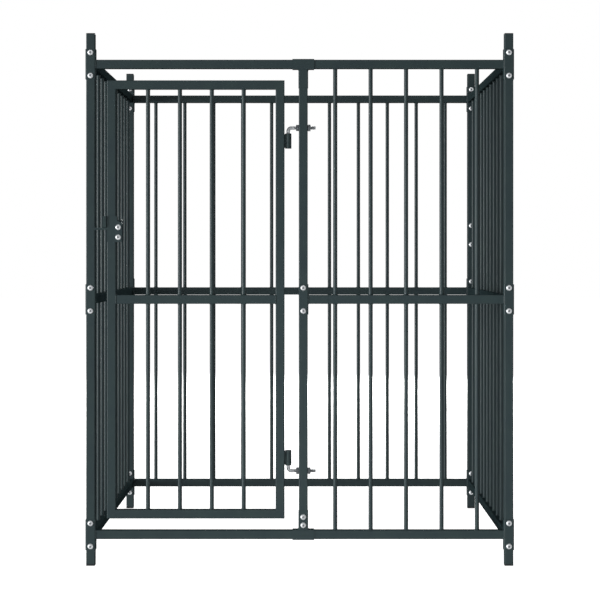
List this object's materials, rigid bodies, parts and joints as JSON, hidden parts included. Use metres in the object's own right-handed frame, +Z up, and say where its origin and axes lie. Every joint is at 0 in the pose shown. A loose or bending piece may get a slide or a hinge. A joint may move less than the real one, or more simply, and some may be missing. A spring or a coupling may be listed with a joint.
{
  "type": "kennel cage",
  "caption": "Free-standing square kennel run of steel tube and round bars, with a hinged barred door with slide latch, open at top and bottom.",
  "frame": {"origin": "on the ground, at the centre of the plan", "axes": "+Z up; +X to the right for someone facing the door; the door side is at -Y and the back at +Y"},
  "size_m": [1.207, 1.2158, 1.5],
  "materials": {
    "powder_coat": "anthracite powder coat, satin",
    "zinc_screw": "bright zinc plate",
    "zinc_steel": "zinc plate, satin",
    "black_plastic": "moulded, fine matt"
  },
  "bodies": {
    "frame": {"post_front_left": "powder_coat", "post_front_right": "powder_coat", "post_back_left": "powder_coat", "post_back_right": "powder_coat", "centre_post": "powder_coat", "foot_plugs": "black_plastic", "top_plugs": "black_plastic", "connector_front_left_bottom": "powder_coat", "connector_front_left_middle": "powder_coat", "connector_front_left_top": "powder_coat", "connector_front_right_bottom": "powder_coat", "connector_front_right_middle": "powder_coat", "connector_front_right_top": "powder_coat", "connector_back_left_bottom": "powder_coat", "connector_back_left_middle": "powder_coat", "connector_back_left_top": "powder_coat", "connector_back_right_bottom": "powder_coat", "connector_back_right_middle": "powder_coat", "connector_back_right_top": "powder_coat", "rail_front_bottom": "powder_coat", "rail_front_middle": "powder_coat", "rail_front_top": "powder_coat", "rail_back_bottom": "powder_coat", "rail_back_middle": "powder_coat", "rail_back_top": "powder_coat", "rail_left_bottom": "powder_coat", "rail_left_middle": "powder_coat", "rail_left_top": "powder_coat", "rail_right_bottom": "powder_coat", "rail_right_middle": "powder_coat", "rail_right_top": "powder_coat", "bars_front": "powder_coat", "bars_back": "powder_coat", "bars_left": "powder_coat", "bars_right": "powder_coat", "tee_bottom": "powder_coat", "tee_top": "powder_coat", "centre_saddle": "powder_coat", "hinge_bolt_upper": "zinc_steel", "hinge_bolt_lower": "zinc_steel", "hinge_nuts": "zinc_steel", "connector_screws": "zinc_screw", "tee_screws": "zinc_screw", "spare_screws": "zinc_screw", "rivet_nuts": "zinc_steel"},
    "door": {"door_latch_stile": "powder_coat", "door_hinge_stile": "powder_coat", "door_top_rail": "powder_coat", "door_bottom_rail": "powder_coat", "door_middle_rail": "powder_coat", "door_bars": "powder_coat", "hinge_barrel_upper": "powder_coat", "hinge_barrel_lower": "powder_coat", "latch_front_plate": "powder_coat", "latch_back_plate": "powder_coat", "latch_spacers": "zinc_steel", "latch_screws": "zinc_screw", "latch_nuts": "zinc_steel"},
    "latch": {"latch_slide": "powder_coat", "latch_clip": "zinc_steel"}
  },
  "joints": [
    {"name": "door_hinge", "type": "hinge", "parent": "frame", "child": "door", "pos_m": [-0.03242, -0.589, 0.75], "axis": [0, 0, 1], "range_deg": [0, 105]},
    {"name": "latch_bolt", "type": "slide", "parent": "door", "child": "latch", "axis": [-1, 0, 0], "range_m": [0, 0.015]}
  ]
}
